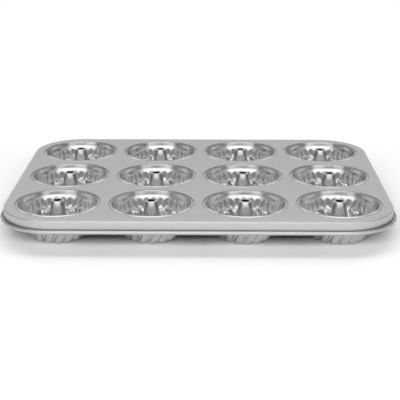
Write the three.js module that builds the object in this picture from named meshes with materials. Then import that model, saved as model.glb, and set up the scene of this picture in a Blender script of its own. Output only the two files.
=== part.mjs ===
// A twelve-cup ring-cake pan in coated steel. A pressed deck has a skirt whose edge is rolled round a wire.
// Each cup is drawn on its own, with swirled flutes and a pierced cone in the middle. Its flange rests in a
// sunk seat of the deck, and a bead round its neck locks it from below.
// Millimetres, +Z up. The pan stands on its cup floors at z = 0, with its middle on the Z axis.
import * as THREE from 'three';
import { mergeVertices } from 'three/addons/utils/BufferGeometryUtils.js';

const { cos, sin, PI } = Math;
const { degToRad } = THREE.MathUtils;

// Deck
const COLUMN_COUNT = 4;
const ROW_NAMES = ['front', 'middle', 'back'];
const SEAT_GAP = 8.8; // deck left between two neighbouring seats, both ways
const END_MARGIN = 9.8; // deck left between an outer seat and the face of the skirt, left and right
const SIDE_MARGIN = 11.2; // the same in front and behind
const CORNER_RADIUS = 46.5;
const DECK_HEIGHT = 31; // from the surface the pan stands on to the top of the deck
const DECK_SHEET = 0.6;

// Skirt, and the edge rolled outwards round the wire
const SKIRT_BEND_RADIUS = 1.2;
const RIM_HEIGHT = 12; // from the top of the deck to the underside of the rolled edge
const CURL_SWEEP = degToRad(300);
const WIRE_RADIUS = 1;

// Mouth of a cup
const CUP_SHEET = 0.5;
const MOUTH_RADIUS = 35.8; // inside the neck
const FLANGE_WIDTH = 1.5;
const FLANGE_SINK = 0.2; // the flange lies this far below the top of the deck
const LOCK_BEAD_OVERLAP = 0.5; // how far the bead reaches past the edge of its hole
const LOCK_BEAD_RISE = 0.8;

// Wall of a cup: a tapered neck, an upright crown, a ledge, and swirled flutes down to the floor
const NECK_DEPTH = 7; // from the top of the deck to the crown
const NECK_TAPER = 1.6;
const CROWN_HEIGHT = 6.8;
const CROWN_TAPER = 0.5;
const LEDGE_WIDTH = 2.4;
const LEDGE_DROP = 2;
const FLUTE_COUNT = 16;
const FLUTE_DEPTH = 2.2; // from crest to valley
const FLUTE_TURN = degToRad(18); // how far the flutes turn on their way down
const FLOOR_RADIUS = 22.6;

// Cone in the middle of a cup
const CONE_FOOT_RADIUS = 11;
const CONE_RISE = 2.4; // the cone stands this far above the deck
const CONE_SHOULDER_RADIUS = 5.7;
const CONE_SHOULDER_DROP = 1.1;
const CONE_HOLE_RADIUS = 3.3;

// Play between pieces that touch on the real pan
const SEAT_CLEARANCE = 0.3;
const WIRE_CLEARANCE = 0.3;

// Fineness of the round forms
const MOUTH_POINTS = 24;
const CONE_POINTS = 12;
const CORNER_STEPS = 6;
const BEND_STEPS = 2;
const CURL_STEPS = 5;
const WIRE_SIDES = 6;

// Sizes that follow from the seat: the flange fills it, the neck passes through its hole, and the cups stand
// as far apart as their seats need.
const flangeRadius = MOUTH_RADIUS + FLANGE_WIDTH;
const flangeHeight = DECK_HEIGHT - FLANGE_SINK;
const neckRadius = MOUTH_RADIUS + CUP_SHEET;
const seatRadius = flangeRadius + SEAT_CLEARANCE;
const seatHeight = flangeHeight - CUP_SHEET - SEAT_CLEARANCE;
const seatHoleRadius = neckRadius + SEAT_CLEARANCE;
const seatUnderside = seatHeight - DECK_SHEET;
const cupPitch = 2 * seatRadius + SEAT_GAP;

// A ring of points on a level circle, counter-clockwise. A fluted ring steps out and in from point to point.
function circle({ radius, height, points = MOUTH_POINTS, flute = 0, turn = 0 }) {
  return Array.from({ length: points }, (_, index) => {
    const angle = turn + (2 * PI * index) / points;
    const reach = radius + (index % 2 ? -flute : flute) / 2;
    return new THREE.Vector3(reach * cos(angle), reach * sin(angle), height);
  });
}

// Points along a flat arc.
function arc(x, y, radius, start, sweep, steps) {
  return Array.from({ length: steps + 1 }, (_, step) => {
    const angle = start + (sweep * step) / steps;
    return new THREE.Vector2(x + radius * cos(angle), y + radius * sin(angle));
  });
}

// A ring of points on the level outline of the deck, grown outwards by a distance.
function deckOutline(growth, height) {
  const x = ((COLUMN_COUNT - 1) * cupPitch) / 2 + seatRadius + END_MARGIN - CORNER_RADIUS;
  const y = ((ROW_NAMES.length - 1) * cupPitch) / 2 + seatRadius + SIDE_MARGIN - CORNER_RADIUS;
  const quarter = PI / 2;
  const corner = ([cornerX, cornerY], index) =>
    arc(cornerX, cornerY, CORNER_RADIUS + growth, index * quarter, quarter, CORNER_STEPS);
  return [[x, y], [-x, y], [-x, -y], [x, -y]]
    .flatMap(corner)
    .map((point) => new THREE.Vector3(point.x, point.y, height));
}

// Triangles between two rings, as a list of corners. They face the way that is outward when the skin of a
// sheet is followed outwards along its underside. The rings may have different numbers of points.
function band(from, to) {
  const corners = [];
  let near = 0;
  let far = 0;
  while (near < from.length || far < to.length) {
    const start = from[near % from.length];
    const end = to[far % to.length];
    if ((near + 1) * to.length <= (far + 1) * from.length) {
      near += 1;
      corners.push(start, from[near % from.length], end);
    } else {
      far += 1;
      corners.push(start, to[far % to.length], end);
    }
  }
  return corners;
}

function loft(rings) {
  return rings.slice(1).flatMap((ring, index) => band(rings[index], ring));
}

// A level face inside an outline, with holes, looking up or down.
function levelFace(outline, holes, looksUp) {
  const shape = new THREE.Shape(outline);
  shape.holes = holes.map((hole) => new THREE.Path(hole));
  const face = new THREE.ShapeGeometry(shape).toNonIndexed().getAttribute('position');
  const corners = [];
  for (let index = 0; index < face.count; index += 1) {
    corners.push(new THREE.Vector3(face.getX(index), face.getY(index), outline[0].z));
  }
  return looksUp ? corners : corners.reverse();
}

function solid(corners) {
  const geometry = mergeVertices(new THREE.BufferGeometry().setFromPoints(corners));
  geometry.computeVertexNormals();
  return geometry;
}

// The back of a drawn sheet: the stations of its face, moved one sheet thickness square to the face.
function backOf(face, thickness) {
  const squares = face.slice(1).map((station, index) => {
    const run = station.radius - face[index].radius;
    const rise = station.height - face[index].height;
    return new THREE.Vector2(rise, -run).normalize();
  });
  return face.map((station, index) => {
    const before = squares[Math.max(index - 1, 0)];
    const after = squares[Math.min(index, squares.length - 1)];
    const move = before.clone().add(after).multiplyScalar(thickness / (1 + before.dot(after)));
    return { ...station, radius: station.radius + move.x, height: station.height + move.y };
  });
}

// The face that the cake touches, from the hole in the cone outwards to the edge of the flange.
function cupFace() {
  const crownTop = DECK_HEIGHT - NECK_DEPTH;
  const crownFoot = crownTop - CROWN_HEIGHT;
  const crownTopRadius = MOUTH_RADIUS - NECK_TAPER;
  const crownFootRadius = crownTopRadius - CROWN_TAPER;
  const coneRing = { points: CONE_POINTS, turn: -FLUTE_TURN };
  const fluteRing = { points: 2 * FLUTE_COUNT, flute: FLUTE_DEPTH };
  const coneTop = DECK_HEIGHT + CONE_RISE;
  return [
    { radius: CONE_HOLE_RADIUS, height: coneTop, ...coneRing },
    { radius: CONE_SHOULDER_RADIUS, height: coneTop - CONE_SHOULDER_DROP, ...coneRing },
    { radius: CONE_FOOT_RADIUS, height: CUP_SHEET, ...coneRing },
    { radius: FLOOR_RADIUS, height: CUP_SHEET, ...fluteRing, turn: -FLUTE_TURN },
    { radius: crownFootRadius - LEDGE_WIDTH, height: crownFoot - LEDGE_DROP, ...fluteRing },
    { radius: crownFootRadius, height: crownFoot },
    { radius: crownTopRadius, height: crownTop },
    { radius: MOUTH_RADIUS, height: flangeHeight },
    { radius: flangeRadius, height: flangeHeight },
  ];
}

// One cup: its back, with the lock bead under the flange, then its face, closed at the hole in the cone.
function cupGeometry() {
  const face = cupFace();
  const back = backOf(face, CUP_SHEET);
  const beadTop = seatUnderside - SEAT_CLEARANCE;
  const lockBead = [
    { radius: seatHoleRadius + LOCK_BEAD_OVERLAP, height: beadTop - LOCK_BEAD_RISE },
    { radius: neckRadius, height: beadTop },
  ];
  back.splice(-2, 0, ...lockBead);
  return solid(loft([...back, ...face.reverse(), back[0]].map(circle)));
}

// The section of the rim, from the underside of the deck down the skirt, round the curl and back to the top.
function rimSection() {
  const curlRadius = WIRE_RADIUS + WIRE_CLEARANCE;
  const curlHeight = DECK_HEIGHT - RIM_HEIGHT + curlRadius + DECK_SHEET;
  const bend = (radius) =>
    arc(-SKIRT_BEND_RADIUS, DECK_HEIGHT - SKIRT_BEND_RADIUS, radius, PI / 2, -PI / 2, BEND_STEPS);
  const curl = (radius) => arc(curlRadius, curlHeight, radius, PI, CURL_SWEEP, CURL_STEPS);
  return {
    sheet: [
      ...bend(SKIRT_BEND_RADIUS - DECK_SHEET),
      ...curl(curlRadius + DECK_SHEET),
      ...curl(curlRadius).reverse(),
      ...bend(SKIRT_BEND_RADIUS).reverse(),
    ],
    wire: arc(curlRadius, curlHeight, WIRE_RADIUS, PI, 2 * PI, WIRE_SIDES),
  };
}

// The skin of one seat, from the top of the deck down its step, over its ledge and back to the underside.
function seatRings() {
  return [
    { radius: seatRadius, height: DECK_HEIGHT },
    { radius: seatRadius, height: seatHeight },
    { radius: seatHoleRadius, height: seatHeight },
    { radius: seatHoleRadius, height: seatUnderside },
    { radius: seatRadius + DECK_SHEET, height: DECK_HEIGHT - DECK_SHEET },
  ].map(circle);
}

function deckGeometry(cupPlaces) {
  const rim = rimSection().sheet.map((point) => deckOutline(point.x, point.y));
  const seats = cupPlaces.map(({ centre }) =>
    seatRings().map((ring) => ring.map((point) => point.add(centre))));
  return solid([
    ...loft(rim),
    ...seats.flatMap(loft),
    ...levelFace(rim.at(-1), seats.map((rings) => rings[0]), true),
    ...levelFace(rim[0], seats.map((rings) => rings.at(-1)), false),
  ]);
}

function wireGeometry() {
  return solid(loft(rimSection().wire.map((point) => deckOutline(point.x, point.y))));
}

function piece(name, geometry, finish) {
  const mesh = new THREE.Mesh(geometry, new THREE.MeshStandardMaterial(finish));
  mesh.name = name;
  return mesh;
}

const cupPlaces = ROW_NAMES.flatMap((row, rowIndex) =>
  Array.from({ length: COLUMN_COUNT }, (_, column) => ({
    name: `cup_${row}_${column + 1}`,
    centre: new THREE.Vector3(
      (column - (COLUMN_COUNT - 1) / 2) * cupPitch,
      (rowIndex - (ROW_NAMES.length - 1) / 2) * cupPitch,
      0,
    ),
  })));

const pan = new THREE.Group();
pan.add(piece('deck', deckGeometry(cupPlaces), { color: 0xb9babc, roughness: 0.45, metalness: 0.85 }));
pan.add(piece('rim_wire', wireGeometry(), { color: 0x9a9da0, roughness: 0.4, metalness: 1 }));
cupPlaces.forEach(({ name, centre }) => {
  const cup = piece(name, cupGeometry(), { color: 0xc2c3c5, roughness: 0.25, metalness: 0.95 });
  cup.position.copy(centre);
  pan.add(cup);
});

export default pan;
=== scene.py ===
from math import pi, radians

import bmesh
import bpy
import numpy as np
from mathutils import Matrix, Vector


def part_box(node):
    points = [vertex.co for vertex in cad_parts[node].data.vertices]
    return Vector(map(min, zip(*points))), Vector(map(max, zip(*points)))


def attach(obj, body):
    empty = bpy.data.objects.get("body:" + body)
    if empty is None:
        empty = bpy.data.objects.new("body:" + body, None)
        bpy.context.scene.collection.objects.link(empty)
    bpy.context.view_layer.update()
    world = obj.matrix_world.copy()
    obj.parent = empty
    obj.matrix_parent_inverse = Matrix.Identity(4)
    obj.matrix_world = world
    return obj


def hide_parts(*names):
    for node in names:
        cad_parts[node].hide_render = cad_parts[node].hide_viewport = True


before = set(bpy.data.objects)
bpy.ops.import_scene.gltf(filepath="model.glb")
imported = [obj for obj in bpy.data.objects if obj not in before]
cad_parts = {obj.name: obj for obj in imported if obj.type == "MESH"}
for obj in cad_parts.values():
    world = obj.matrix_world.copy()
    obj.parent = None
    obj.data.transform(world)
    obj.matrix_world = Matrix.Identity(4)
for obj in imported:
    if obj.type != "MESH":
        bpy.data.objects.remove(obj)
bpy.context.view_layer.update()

# Deck
# One steel sheet, pressed to sink a stepped seat for each cup and bent down into a skirt all round.
# The lower edge of the skirt is rolled outwards and up round a wire, and the roll's free edge stops short
# of the skirt. A matte silver-grey coat covers the sheet.
DECK_SHEET = 0.0006
CORNER_RADIUS = 0.0465
BEND_RADIUS = 0.0012
BEND_LEAD = 0.0005
BORDER_WIDTH = 0.011  # the deck falls a little towards the skirt over this width
BORDER_DROP = 0.0004
CURL_INSIDE = 0.0013
CURL_SWEEP = radians(240)
SEAT_HOLE_RADIUS = 0.0366
SEAT_RADIUS = 0.0384
SEAT_DEPTH = 0.0012
SEAT_EDGE = 0.0002  # easing of the pressed edges of a seat
DISH_RADIUS = 0.0415  # the deck starts to sink towards a seat here
DISH_DEPTH = 0.0001
DECK_COLOUR = (0.52, 0.525, 0.535)
GRAIN_HEIGHT = 0.0001
CUP_ROWS = ("front", "middle", "back")
CUP_COLUMNS = 4
CELL_SIDE_POINTS = 40
CELL_FLAT_ROWS = 8
CURL_POINTS = 30
EASE_POINTS = 6
EDGE_POINTS = 3
WELD_DISTANCE = 1e-6

deck_low, deck_high = map(np.array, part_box("deck"))
deck_top = deck_high[2]
skirt_half = deck_high[:2] - (2 * CURL_INSIDE + DECK_SHEET)
corner_half = skirt_half - CORNER_RADIUS
curl_height = deck_low[2] + CURL_INSIDE + DECK_SHEET
cup_names = [f"cup_{row}_{column + 1}" for row in CUP_ROWS for column in range(CUP_COLUMNS)]
cup_boxes = np.array([[list(corner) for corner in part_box(name)] for name in cup_names])
cup_centres = cup_boxes[:, :, :2].mean(axis=1)


def eased_path(corners, longest):
    """A flat path of straight runs with eased corners, from rows of (x, y, ease).

    Near a corner P the path is (1-s)^2 A + 2 s (1-s) P + s^2 B, where A and B lie `ease` before and
    after P. No step of the path is longer than `longest`.
    """
    corners = np.array(corners, float)
    points, ease = corners[:, :2], corners[1:-1, 2:]
    runs = np.diff(points, axis=0)
    runs /= np.linalg.norm(runs, axis=1, keepdims=True)
    middle = points[1:-1]
    s = np.linspace(0, 1, EASE_POINTS)[:, None, None]
    eased = (1 - s) ** 2 * (middle - ease * runs[:-1]) + 2 * s * (1 - s) * middle
    eased += s**2 * (middle + ease * runs[1:])
    path = np.concatenate([points[:1], eased.transpose(1, 0, 2).reshape(-1, 2), points[-1:]])
    lengths = np.linalg.norm(np.diff(path, axis=0), axis=1)
    path = path[np.append(True, lengths > WELD_DISTANCE)]
    lengths = lengths[lengths > WELD_DISTANCE]
    parts = np.ceil(lengths / longest).astype(int)
    place = np.arange(parts.sum()) - np.repeat(np.cumsum(parts) - parts, parts)
    stations = np.repeat(np.arange(len(parts)), parts) + place / np.repeat(parts, parts)
    stations = np.append(stations, len(parts))
    corner_stations = np.arange(len(path))
    return np.stack([np.interp(stations, corner_stations, path[:, axis]) for axis in (0, 1)], axis=1)


def smooth_step(x, start, end):
    """3 t^2 - 2 t^3 of the share t of the way from start to end."""
    t = np.clip((x - start) / (end - start), 0, 1)
    return t * t * (3 - 2 * t)


def sheet_normals(face):
    """Unit cross product of the steps along and round a face. Its last axes are along, round and xyz."""
    along = np.gradient(face, axis=-3)
    around = np.roll(face, -1, axis=-2) - np.roll(face, 1, axis=-2)
    normals = np.cross(along, around)
    return normals / np.linalg.norm(normals, axis=-1, keepdims=True)


def sheet_edge(face, normals, thickness, last):
    """Half-round edge of a sheet: c + t/2 (cos a n + sin a o) for a from 0 to pi.

    c is the middle of the sheet at its edge, t the thickness, n the face's normal, and o points off the face.
    """
    row, inner = (-1, -2) if last else (0, 1)
    outward = face[..., row, :, :] - face[..., inner, :, :]
    outward /= np.linalg.norm(outward, axis=-1, keepdims=True)
    normal = normals[..., row, :, :]
    centre = face[..., row, :, :] - thickness / 2 * normal
    angles = np.linspace(0, pi, EDGE_POINTS + 2)[1:-1]
    rings = [centre + thickness / 2 * (np.cos(a) * normal + np.sin(a) * outward) for a in angles]
    return np.stack(rings, axis=-3)


def grid_faces(shape, closed):
    """Four-cornered faces of a grid of rows, closed round each row.

    If asked, they also close the grid from the last row to the first.
    """
    rows, points = shape
    index = np.arange(rows * points).reshape(rows, points)
    if closed:
        index = np.vstack([index, index[:1]])
    index = np.hstack([index, index[:, :1]])
    corners = [index[:-1, :-1], index[1:, :-1], index[1:, 1:], index[:-1, 1:]]
    return np.stack(corners, axis=-1).reshape(-1, 4)


def new_piece(name, points, faces, material):
    """A smooth-shaded object at the origin, from whole arrays of points and faces."""
    mesh = bpy.data.meshes.new(name)
    mesh.from_pydata(points.reshape(-1, 3), [], faces)
    mesh.shade_smooth()
    mesh.materials.append(material)
    piece = bpy.data.objects.new(name, mesh)
    bpy.context.scene.collection.objects.link(piece)
    return piece


def cell_outline(centre):
    """Edge of one cup's share of the flat deck.

    It is a rectangle, whose points are pulled in to the deck's rounded corner where they lie outside it.
    """
    pitch = cup_centres[1, 0] - cup_centres[0, 0]
    flat_half = skirt_half - BEND_RADIUS - BEND_LEAD
    low = np.where(np.isclose(centre, cup_centres.min(axis=0)), -flat_half, centre - pitch / 2)
    high = np.where(np.isclose(centre, cup_centres.max(axis=0)), flat_half, centre + pitch / 2)
    corners = np.array([(high[0], low[1]), high, (low[0], high[1]), low, (high[0], low[1])])
    share = np.arange(CELL_SIDE_POINTS)[:, None] / CELL_SIDE_POINTS
    edge = (corners[:-1, None] + share * np.diff(corners, axis=0)[:, None]).reshape(-1, 2)
    core = np.clip(edge, -corner_half, corner_half)
    reach = np.linalg.norm(edge - core, axis=1, keepdims=True)
    limit = CORNER_RADIUS - BEND_RADIUS - BEND_LEAD
    return core + (edge - core) * np.minimum(1, limit / np.maximum(reach, limit / 2))


def border_drop(level):
    """Fall of the deck near the skirt: drop (1 - d / width)^2 at a distance d from the skirt's face."""
    reach = np.linalg.norm(level - np.clip(level, -corner_half, corner_half), axis=-1)
    return BORDER_DROP * np.clip((reach - CORNER_RADIUS) / BORDER_WIDTH + 1, 0, None) ** 2


def deck_cells():
    """The pressed sheet round each cup, both faces.

    The seat's section is carried round its cup, and straight lines run from its outer ring to the outline.
    """
    seat = eased_path([
        (SEAT_HOLE_RADIUS, deck_top - SEAT_DEPTH, 0),
        (SEAT_RADIUS, deck_top - SEAT_DEPTH, SEAT_EDGE / 2),
        (SEAT_RADIUS, deck_top, SEAT_EDGE),
        (DISH_RADIUS, deck_top, 0),
    ], SEAT_EDGE)
    seat[:, 1] -= DISH_DEPTH * smooth_step(seat[:, 0], DISH_RADIUS, SEAT_RADIUS)
    outlines = np.array([cell_outline(centre) for centre in cup_centres])
    rays = outlines - cup_centres[:, None]
    rays /= np.linalg.norm(rays, axis=2, keepdims=True)
    rings = cup_centres[:, None, None] + seat[:, 0][None, :, None, None] * rays[:, None]
    share = np.linspace(0, 1, CELL_FLAT_ROWS + 1)[1:, None, None]
    flat = rings[:, -1:] + share * (outlines[:, None] - rings[:, -1:])
    level = np.concatenate([rings, flat], axis=1)
    heights = np.append(seat[:, 1], np.full(CELL_FLAT_ROWS, deck_top))[:, None] - border_drop(level)
    face = np.concatenate([level, heights[..., None]], axis=-1)
    normals = sheet_normals(face)
    back = face - DECK_SHEET * normals
    edge = sheet_edge(face, normals, DECK_SHEET, last=False)
    return np.concatenate([back[:, ::-1], edge[:, ::-1], face], axis=1), outlines


def rim_rows(outline):
    """The bend, the skirt and the roll, both faces: a section of (growth, height) along the outline."""
    curl_angles = pi + np.linspace(0, CURL_SWEEP, CURL_POINTS)
    bend = eased_path([
        (-BEND_RADIUS - BEND_LEAD, deck_top - border_drop(outline)[0], 0),
        (0, deck_top - BORDER_DROP, BEND_RADIUS),
        (0, curl_height, 0),
    ], BEND_RADIUS / 2)
    curl = CURL_INSIDE * np.stack([1 + np.cos(curl_angles), np.sin(curl_angles)], axis=1)
    section = np.concatenate([bend, curl[1:] + (0, curl_height)])
    core = np.clip(outline, -corner_half, corner_half)
    outward = (outline - core) / np.linalg.norm(outline - core, axis=1, keepdims=True)
    level = core + outward * (CORNER_RADIUS + section[:, :1, None])
    heights = np.broadcast_to(section[:, 1:, None], (*level.shape[:-1], 1))
    face = np.concatenate([level, heights], axis=-1)
    normals = sheet_normals(face)
    back = face - DECK_SHEET * normals
    edge = sheet_edge(face, normals, DECK_SHEET, last=True)
    return np.concatenate([face, edge, back[::-1]])


def coat_grain_group():
    """Fine grain of a sprayed coat: the sum of two sizes of noise, less its mean of one.

    Mottle shifts the colour a little, Roughness spreads about its middle, and Height feeds a bump. The noise
    lies on the object's own coordinates.
    """
    group = bpy.data.node_groups.new("coat_grain", "ShaderNodeTree")
    new_socket = group.interface.new_socket
    for socket, default in (("Grain Scale", 2600.0), ("Cloud Scale", 60.0), ("Mottle", 0.06),
                            ("Roughness Middle", 0.4), ("Roughness Spread", 0.1)):
        new_socket(socket, in_out="INPUT", socket_type="NodeSocketFloat").default_value = default
    new_socket("Colour", in_out="INPUT", socket_type="NodeSocketColor")
    new_socket("Colour", in_out="OUTPUT", socket_type="NodeSocketColor")
    new_socket("Roughness", in_out="OUTPUT", socket_type="NodeSocketFloat")
    new_socket("Height", in_out="OUTPUT", socket_type="NodeSocketFloat")
    nodes, link = group.nodes, group.links.new
    given = nodes.new("NodeGroupInput")
    result = nodes.new("NodeGroupOutput")
    place = nodes.new("ShaderNodeTexCoord")
    grain = nodes.new("ShaderNodeTexNoise")
    cloud = nodes.new("ShaderNodeTexNoise")
    for noise, scale, detail in ((grain, "Grain Scale", 2.0), (cloud, "Cloud Scale", 4.0)):
        link(place.outputs["Object"], noise.inputs["Vector"])
        link(given.outputs[scale], noise.inputs["Scale"])
        noise.inputs["Detail"].default_value = detail
    both = nodes.new("ShaderNodeMath")
    both.operation = "ADD"
    link(grain.outputs["Fac"], both.inputs[0])
    link(cloud.outputs["Fac"], both.inputs[1])
    centred = nodes.new("ShaderNodeMath")
    centred.operation = "SUBTRACT"
    link(both.outputs[0], centred.inputs[0])
    centred.inputs[1].default_value = 1.0
    lift = nodes.new("ShaderNodeMath")
    lift.operation = "MULTIPLY_ADD"
    link(centred.outputs[0], lift.inputs[0])
    link(given.outputs["Mottle"], lift.inputs[1])
    lift.inputs[2].default_value = 1.0
    tint = nodes.new("ShaderNodeVectorMath")
    tint.operation = "SCALE"
    link(given.outputs["Colour"], tint.inputs[0])
    link(lift.outputs[0], tint.inputs["Scale"])
    rough = nodes.new("ShaderNodeMath")
    rough.operation = "MULTIPLY_ADD"
    link(centred.outputs[0], rough.inputs[0])
    link(given.outputs["Roughness Spread"], rough.inputs[1])
    link(given.outputs["Roughness Middle"], rough.inputs[2])
    link(tint.outputs[0], result.inputs["Colour"])
    link(rough.outputs[0], result.inputs["Roughness"])
    link(grain.outputs["Fac"], result.inputs["Height"])
    return group


def coated_metal(name, colour, metallic, roughness, spread, mottle, bump):
    """A metal finish whose colour, roughness and fine bump come from the coat grain."""
    material = bpy.data.materials.new(name)
    material.use_nodes = True
    nodes, link = material.node_tree.nodes, material.node_tree.links.new
    shader = nodes["Principled BSDF"]
    shader.inputs["Metallic"].default_value = metallic
    grain = nodes.new("ShaderNodeGroup")
    grain.node_tree = coat_grain
    grain.inputs["Colour"].default_value = (*colour, 1)
    grain.inputs["Mottle"].default_value = mottle
    grain.inputs["Roughness Middle"].default_value = roughness
    grain.inputs["Roughness Spread"].default_value = spread
    link(grain.outputs["Colour"], shader.inputs["Base Color"])
    link(grain.outputs["Roughness"], shader.inputs["Roughness"])
    relief = nodes.new("ShaderNodeBump")
    relief.inputs["Strength"].default_value = bump
    relief.inputs["Distance"].default_value = GRAIN_HEIGHT
    link(grain.outputs["Height"], relief.inputs["Height"])
    link(relief.outputs["Normal"], shader.inputs["Normal"])
    return material


coat_grain = coat_grain_group()
deck_coat = coated_metal("deck_coat", DECK_COLOUR, metallic=0.9, roughness=0.42, spread=0.12,
                         mottle=0.1, bump=0.25)
cells, outlines = deck_cells()
front = [outlines[index, 3 * CELL_SIDE_POINTS:] for index in range(CUP_COLUMNS)]
right = [outlines[index, :CELL_SIDE_POINTS]
         for index in range(CUP_COLUMNS - 1, len(cup_names), CUP_COLUMNS)]
back = [outlines[-1 - index, CELL_SIDE_POINTS:2 * CELL_SIDE_POINTS] for index in range(CUP_COLUMNS)]
left = [outlines[index, 2 * CELL_SIDE_POINTS:3 * CELL_SIDE_POINTS]
        for index in range(len(cup_names) - CUP_COLUMNS, -1, -CUP_COLUMNS)]
rim = rim_rows(np.concatenate(front + right + back + left))
cell_faces = grid_faces(cells.shape[1:3], closed=False)
cell_starts = np.arange(len(cells))[:, None, None] * cells[0, ..., 0].size
deck_points = np.concatenate([cells.reshape(-1, 3), rim.reshape(-1, 3)])
deck_faces = np.concatenate([(cell_faces + cell_starts).reshape(-1, 4),
                             grid_faces(rim.shape[:2], closed=False) + cells[..., 0].size])
deck = new_piece("deck_sheet", deck_points, deck_faces, deck_coat)
welded = bmesh.new()
welded.from_mesh(deck.data)
bmesh.ops.remove_doubles(welded, verts=welded.verts, dist=WELD_DISTANCE)
welded.to_mesh(deck.data)
welded.free()
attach(deck, "root")
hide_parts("deck")

# Rim wire
# A bright steel wire, bent to the outline of the skirt, stiffens the pan's edge. The deck's roll holds it,
# and it shows only in the gap between the roll's free edge and the skirt.
WIRE_COLOUR = (0.55, 0.56, 0.57)

wire_steel = coated_metal("wire_steel", WIRE_COLOUR, metallic=1.0, roughness=0.35, spread=0.15,
                          mottle=0.08, bump=0.2)
wire_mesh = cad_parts["rim_wire"].data
wire_mesh.materials.clear()
wire_mesh.materials.append(wire_steel)

# Cups
# Each cup is drawn from its own thinner sheet: a lip that rests in the seat, a smooth neck, a crown of small
# arched channels, and a wall whose broad lobes swirl down to the flat floor, where a pierced cone stands.
# A bead rolled round the outside of the neck locks the cup in its hole. The coat is glossier than the deck's.
CUP_SHEET = 0.0005
MOUTH_RADIUS = 0.0358
LIP_RISE = 0.0001  # of the crest above the deck
LIP_RADIUS = 0.0373
LIP_FALL = 0.0008  # from the crest out to the edge
LIP_DROP = 0.0011
LIP_EASE = 0.0004
LOCK_BEAD_REACH = 0.0008
LOCK_BEAD_DROP = 0.0028  # from the top of the deck to the middle of the bead
LOCK_BEAD_HALF_HEIGHT = 0.0007
NECK_DEPTH = 0.0038  # from the top of the deck to the shoulder
NECK_FOOT_RADIUS = 0.0350
NECK_EASE = 0.0008
CROWN_RADIUS = 0.0328  # on the ridges between the channels
CROWN_TOP_DROP = 0.0098
CROWN_FOOT_DROP = 0.0163
CROWN_DRAFT = 0.0012  # taken off the radius from top to foot
CROWN_EASE = 0.0008
CHANNEL_COUNT = 32
CHANNEL_SHARE = 0.84
CHANNEL_DEPTH = 0.0010
CHANNEL_BLEND = 0.0003
LOBE_COUNT = 16
LOBE_SHARE = 0.66
RIDGE_HEIGHT = 0.0028  # of the ridges between the lobes
RIDGE_ARCH = 0.0025
SWIRL = radians(18.15)
FLOOR_RADIUS = 0.0237
FLOOR_FADE = 0.005
HEEL_EASE = 0.002
CONE_HOLE_RADIUS = 0.0039
CONE_TOP_RADIUS = 0.0055
CONE_TOP_EASE = 0.0009
CONE_FOOT_RADIUS = 0.011
CONE_FOOT_EASE = 0.003
CUP_COLOUR = (0.6, 0.605, 0.615)
CUP_POINTS = 8 * CHANNEL_COUNT
CUP_ROW_HEIGHT = 0.00075


def channel_wave(angle, count, share):
    """Round channels, `count` to a turn: sqrt(1 - u^2) in a channel, and 0 on the ridges.

    u is the angle from the middle of a channel over half its width. The channels take `share` of the turn.
    """
    pitch = 2 * pi / count
    offset = np.abs((angle + pitch / 2) % pitch - pitch / 2)
    return np.sqrt(np.clip(1 - (2 * offset / (share * pitch)) ** 2, 0, None))


def blended_low(first, second, blend):
    """Smaller of two surfaces, eased where they cross: (a + b - sqrt((a - b)^2 + blend^2)) / 2."""
    return (first + second - np.sqrt((first - second) ** 2 + blend**2)) / 2


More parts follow.
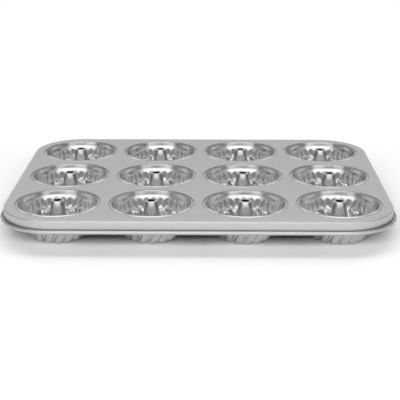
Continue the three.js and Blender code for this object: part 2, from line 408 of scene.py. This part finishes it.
def cup_shell(low, high):
    """Both faces of one cup: the section from the cone's hole out to the lip, turned round the cup's axis.

    A channel of the crown pushes the section outwards until it meets the slope of the shoulder above and
    the slope of the wall below. A ridge between two lobes moves the wall along the section's normal, and the
    lower the wall, the further its points are turned. The bead thickens the back of the neck.
    """
    floor = low[2] + CUP_SHEET
    lip = deck_top + LIP_RISE
    neck_foot = deck_top - NECK_DEPTH
    crown_top = deck_top - CROWN_TOP_DROP
    crown_foot = deck_top - CROWN_FOOT_DROP
    section = eased_path([
        (CONE_HOLE_RADIUS, high[2], 0),
        (CONE_TOP_RADIUS, high[2], CONE_TOP_EASE),
        (CONE_FOOT_RADIUS, floor, CONE_FOOT_EASE),
        (FLOOR_RADIUS, floor, HEEL_EASE),
        (CROWN_RADIUS - CROWN_DRAFT, crown_foot, CROWN_EASE),
        (CROWN_RADIUS, crown_top, CROWN_EASE),
        (NECK_FOOT_RADIUS, neck_foot, NECK_EASE),
        (MOUTH_RADIUS, lip, LIP_EASE),
        (LIP_RADIUS, lip - LIP_FALL, LIP_EASE / 2),
        (LIP_RADIUS, lip - LIP_DROP, 0),
    ], CUP_ROW_HEIGHT)
    radius, height = section[:, :1], section[:, 1:]
    run = np.gradient(section, axis=0)
    run /= np.linalg.norm(run, axis=1, keepdims=True)
    angle = 2 * pi * np.arange(CUP_POINTS) / CUP_POINTS
    channel = CROWN_RADIUS + CHANNEL_DEPTH * channel_wave(angle, CHANNEL_COUNT, CHANNEL_SHARE)
    shoulder_slope = (NECK_FOOT_RADIUS - CROWN_RADIUS) / (neck_foot - crown_top)
    wall_slope = (CROWN_RADIUS - CROWN_DRAFT - FLOOR_RADIUS) / (crown_foot - floor)
    shoulder = CROWN_RADIUS + shoulder_slope * (height - crown_top)
    wall = CROWN_RADIUS - CROWN_DRAFT + wall_slope * (height - crown_foot)
    draft = CROWN_DRAFT / (crown_top - crown_foot) * np.minimum(height - crown_top, 0)
    cut = [blended_low(-blended_low(-shoulder, -depth - draft, CHANNEL_BLEND), wall, CHANNEL_BLEND)
           for depth in (channel, np.full_like(angle, CROWN_RADIUS))]
    in_crown = (radius > FLOOR_RADIUS) & (height < neck_foot)
    push = RIDGE_HEIGHT * (1 - channel_wave(angle, LOBE_COUNT, LOBE_SHARE))
    push = push * smooth_step(height, crown_foot, crown_foot - RIDGE_ARCH)
    push = push * smooth_step(radius, FLOOR_RADIUS - FLOOR_FADE, FLOOR_RADIUS)
    reach = radius - push * run[:, 1:] + in_crown * (cut[0] - cut[1])
    rise = height + push * run[:, :1]
    turned = angle - SWIRL * np.clip((crown_foot - height) / (crown_foot - floor), 0, 1)
    centre = (low + high) / 2
    x = centre[0] + reach * np.cos(turned)
    y = centre[1] + reach * np.sin(turned)
    face = np.stack([x, y, rise], axis=-1)
    normals = sheet_normals(face)
    bead = (height - (deck_top - LOCK_BEAD_DROP)) / LOCK_BEAD_HALF_HEIGHT
    bead = LOCK_BEAD_REACH * np.sqrt(np.clip(1 - bead**2, 0, None)) * (radius > CROWN_RADIUS)
    back = face - (CUP_SHEET + bead[..., None]) * normals
    lip_edge = sheet_edge(face, normals, CUP_SHEET, last=True)
    hole_edge = sheet_edge(face, normals, CUP_SHEET, last=False)
    return np.concatenate([face, lip_edge, back[::-1], hole_edge[::-1]])


cup_coat = coated_metal("cup_coat", CUP_COLOUR, metallic=1.0, roughness=0.25, spread=0.08,
                        mottle=0.05, bump=0.12)
for name, (low, high) in zip(cup_names, cup_boxes):
    shell = cup_shell(low, high)
    cup = new_piece(f"{name}_shell", shell, grid_faces(shell.shape[:2], closed=True), cup_coat)
    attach(cup, "root")
    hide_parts(name)

# Floor
# A plain pale studio floor. It shows white to the camera and in the metal, keeps the pan's shadow,
# and throws only a little light back under the pan.
FLOOR_HALF = 4.0
FLOOR_BOUNCE = 0.3  # share of the light that it throws back under the pan
FLOOR_WHITE = 1.0  # the same, as the camera and the metal see it
WHITE_START = 0.3  # the floor turns plain white from here on, outside the pan's shadow
WHITE_END = 0.55
BACK_STRETCH = 2.2  # behind the pan it turns white this many times sooner


def floor_paint():
    """Matte paint, lifted to white where the camera or a reflection looks straight at it.

    Light that has already left a matte surface meets the darker paint, so the shadow under the pan stays
    deep. Past the shadow the paint blends into a plain white of strength 1.
    """
    material = bpy.data.materials.new("floor_paint")
    material.use_nodes = True
    nodes, link = material.node_tree.nodes, material.node_tree.links.new
    nodes.clear()
    rays = nodes.new("ShaderNodeLightPath")
    seen = nodes.new("ShaderNodeMath")
    seen.operation = "MAXIMUM"
    link(rays.outputs["Is Camera Ray"], seen.inputs[0])
    link(rays.outputs["Is Glossy Ray"], seen.inputs[1])
    shown = nodes.new("ShaderNodeMath")
    shown.operation = "MAXIMUM"
    link(seen.outputs[0], shown.inputs[0])
    link(rays.outputs["Is Transmission Ray"], shown.inputs[1])
    first = nodes.new("ShaderNodeMath")
    first.operation = "LESS_THAN"
    link(rays.outputs["Diffuse Depth"], first.inputs[0])
    first.inputs[1].default_value = 0.5
    direct = nodes.new("ShaderNodeMath")
    direct.operation = "MULTIPLY"
    link(shown.outputs[0], direct.inputs[0])
    link(first.outputs[0], direct.inputs[1])
    shade = nodes.new("ShaderNodeMix")
    shade.data_type = "RGBA"
    shade.inputs["A"].default_value = (FLOOR_BOUNCE,) * 3 + (1,)
    shade.inputs["B"].default_value = (FLOOR_WHITE,) * 3 + (1,)
    link(direct.outputs[0], shade.inputs["Factor"])
    matte = nodes.new("ShaderNodeBsdfDiffuse")
    link(shade.outputs["Result"], matte.inputs["Color"])
    place = nodes.new("ShaderNodeTexCoord")
    stretched = nodes.new("ShaderNodeVectorMath")
    stretched.operation = "MULTIPLY"
    link(place.outputs["Object"], stretched.inputs[0])
    stretched.inputs[1].default_value = (1.0, BACK_STRETCH, 1.0)
    behind = nodes.new("ShaderNodeVectorMath")
    behind.operation = "MAXIMUM"
    link(place.outputs["Object"], behind.inputs[0])
    link(stretched.outputs[0], behind.inputs[1])
    distance = nodes.new("ShaderNodeVectorMath")
    distance.operation = "LENGTH"
    link(behind.outputs[0], distance.inputs[0])
    away = nodes.new("ShaderNodeMapRange")
    away.interpolation_type = "SMOOTHSTEP"
    away.inputs["From Min"].default_value = WHITE_START
    away.inputs["From Max"].default_value = WHITE_END
    link(distance.outputs["Value"], away.inputs["Value"])
    share = nodes.new("ShaderNodeMath")
    share.operation = "MULTIPLY"
    link(away.outputs["Result"], share.inputs[0])
    link(direct.outputs[0], share.inputs[1])
    plain = nodes.new("ShaderNodeEmission")
    blend = nodes.new("ShaderNodeMixShader")
    link(share.outputs[0], blend.inputs["Fac"])
    link(matte.outputs[0], blend.inputs[1])
    link(plain.outputs[0], blend.inputs[2])
    result = nodes.new("ShaderNodeOutputMaterial")
    link(blend.outputs[0], result.inputs["Surface"])
    return material


floor_points = FLOOR_HALF * np.array([(-1, -1, 0), (1, -1, 0), (1, 1, 0), (-1, 1, 0)], float)
floor = new_piece("studio_floor", floor_points, np.array([[0, 1, 2, 3]]), floor_paint())

# Light
# Soft boxes stand round the pan. Those in front and at the sides brighten the far walls of the cups, the one
# overhead brightens the near lips, and the two panels behind light the deck.
# The floor has a key of its own, which the metal doesn't show.
WORLD_LIGHT = 0.04
WORLD_SEEN = 0.15  # strength that the camera and the metal see


def soft_box(name, place, size, power, on_floor=True, in_metal=True):
    """An area lamp at `place` that faces the pan.

    Flags keep it off the floor, or out of the metal's reflections.
    """
    lamp = bpy.data.lights.new(name, "AREA")
    lamp.shape = "RECTANGLE"
    lamp.size, lamp.size_y = size
    lamp.energy = power
    holder = bpy.data.objects.new(name, lamp)
    holder.location = place
    holder.rotation_euler = (-holder.location).to_track_quat("-Z", "Y").to_euler()
    holder.visible_diffuse = on_floor
    holder.visible_glossy = in_metal
    bpy.context.scene.collection.objects.link(holder)


soft_box("top_box", place=(0.0, 0.05, 1.35), size=(2.0, 0.6), power=7.5)
soft_box("high_panel", place=(0.0, 1.1, 1.2), size=(3.6, 0.8), power=10)
soft_box("floor_key", place=(0.0, -1.6, 0.9), size=(2.2, 0.5), power=41, in_metal=False)
soft_box("front_box", place=(0.0, -1.6, 0.76), size=(3.6, 0.5), power=11.5, on_floor=False)
soft_box("front_high_box", place=(0.0, -1.2, 1.15), size=(1.6, 0.5), power=6, on_floor=False)
soft_box("left_box", place=(-1.65, -0.75, 0.7), size=(1.5, 0.6), power=1.0, on_floor=False)
soft_box("right_box", place=(1.65, -0.75, 0.7), size=(1.5, 0.6), power=1.3, on_floor=False)
soft_box("low_panel", place=(0.0, -2.2, 0.18), size=(5.0, 0.36), power=11, on_floor=False)
soft_box("back_panel", place=(0.0, 2.2, 0.58), size=(4.6, 1.05), power=9.4)

world = bpy.data.worlds.new("studio")
bpy.context.scene.world = world
world.use_nodes = True
world_nodes, world_link = world.node_tree.nodes, world.node_tree.links.new
sky = world_nodes["Background"]
world_rays = world_nodes.new("ShaderNodeLightPath")
world_seen = world_nodes.new("ShaderNodeMath")
world_seen.operation = "MAXIMUM"
world_link(world_rays.outputs["Is Camera Ray"], world_seen.inputs[0])
world_link(world_rays.outputs["Is Glossy Ray"], world_seen.inputs[1])
world_strength = world_nodes.new("ShaderNodeMath")
world_strength.operation = "MULTIPLY_ADD"
world_link(world_seen.outputs[0], world_strength.inputs[0])
world_strength.inputs[1].default_value = WORLD_SEEN - WORLD_LIGHT
world_strength.inputs[2].default_value = WORLD_LIGHT
sky.inputs["Color"].default_value = (1, 1, 1, 1)
world_link(world_strength.outputs[0], sky.inputs["Strength"])

# Camera
# It stands in front of the pan, a little right of its middle, and looks down on it at a low angle.
CAMERA_PLACE = (0.0113, -0.9273, 0.3200)
CAMERA_TILT = radians(71.244)
CAMERA_TURN = radians(0.664)
FIELD_OF_VIEW = radians(22.69)

camera_data = bpy.data.cameras.new("camera")
camera_data.sensor_fit = "HORIZONTAL"
camera_data.angle = FIELD_OF_VIEW
camera = bpy.data.objects.new("camera", camera_data)
camera.location = CAMERA_PLACE
camera.rotation_euler = (CAMERA_TILT, 0, CAMERA_TURN)
bpy.context.scene.collection.objects.link(camera)
bpy.context.scene.camera = camera
bpy.context.scene.view_settings.view_transform = "Standard"
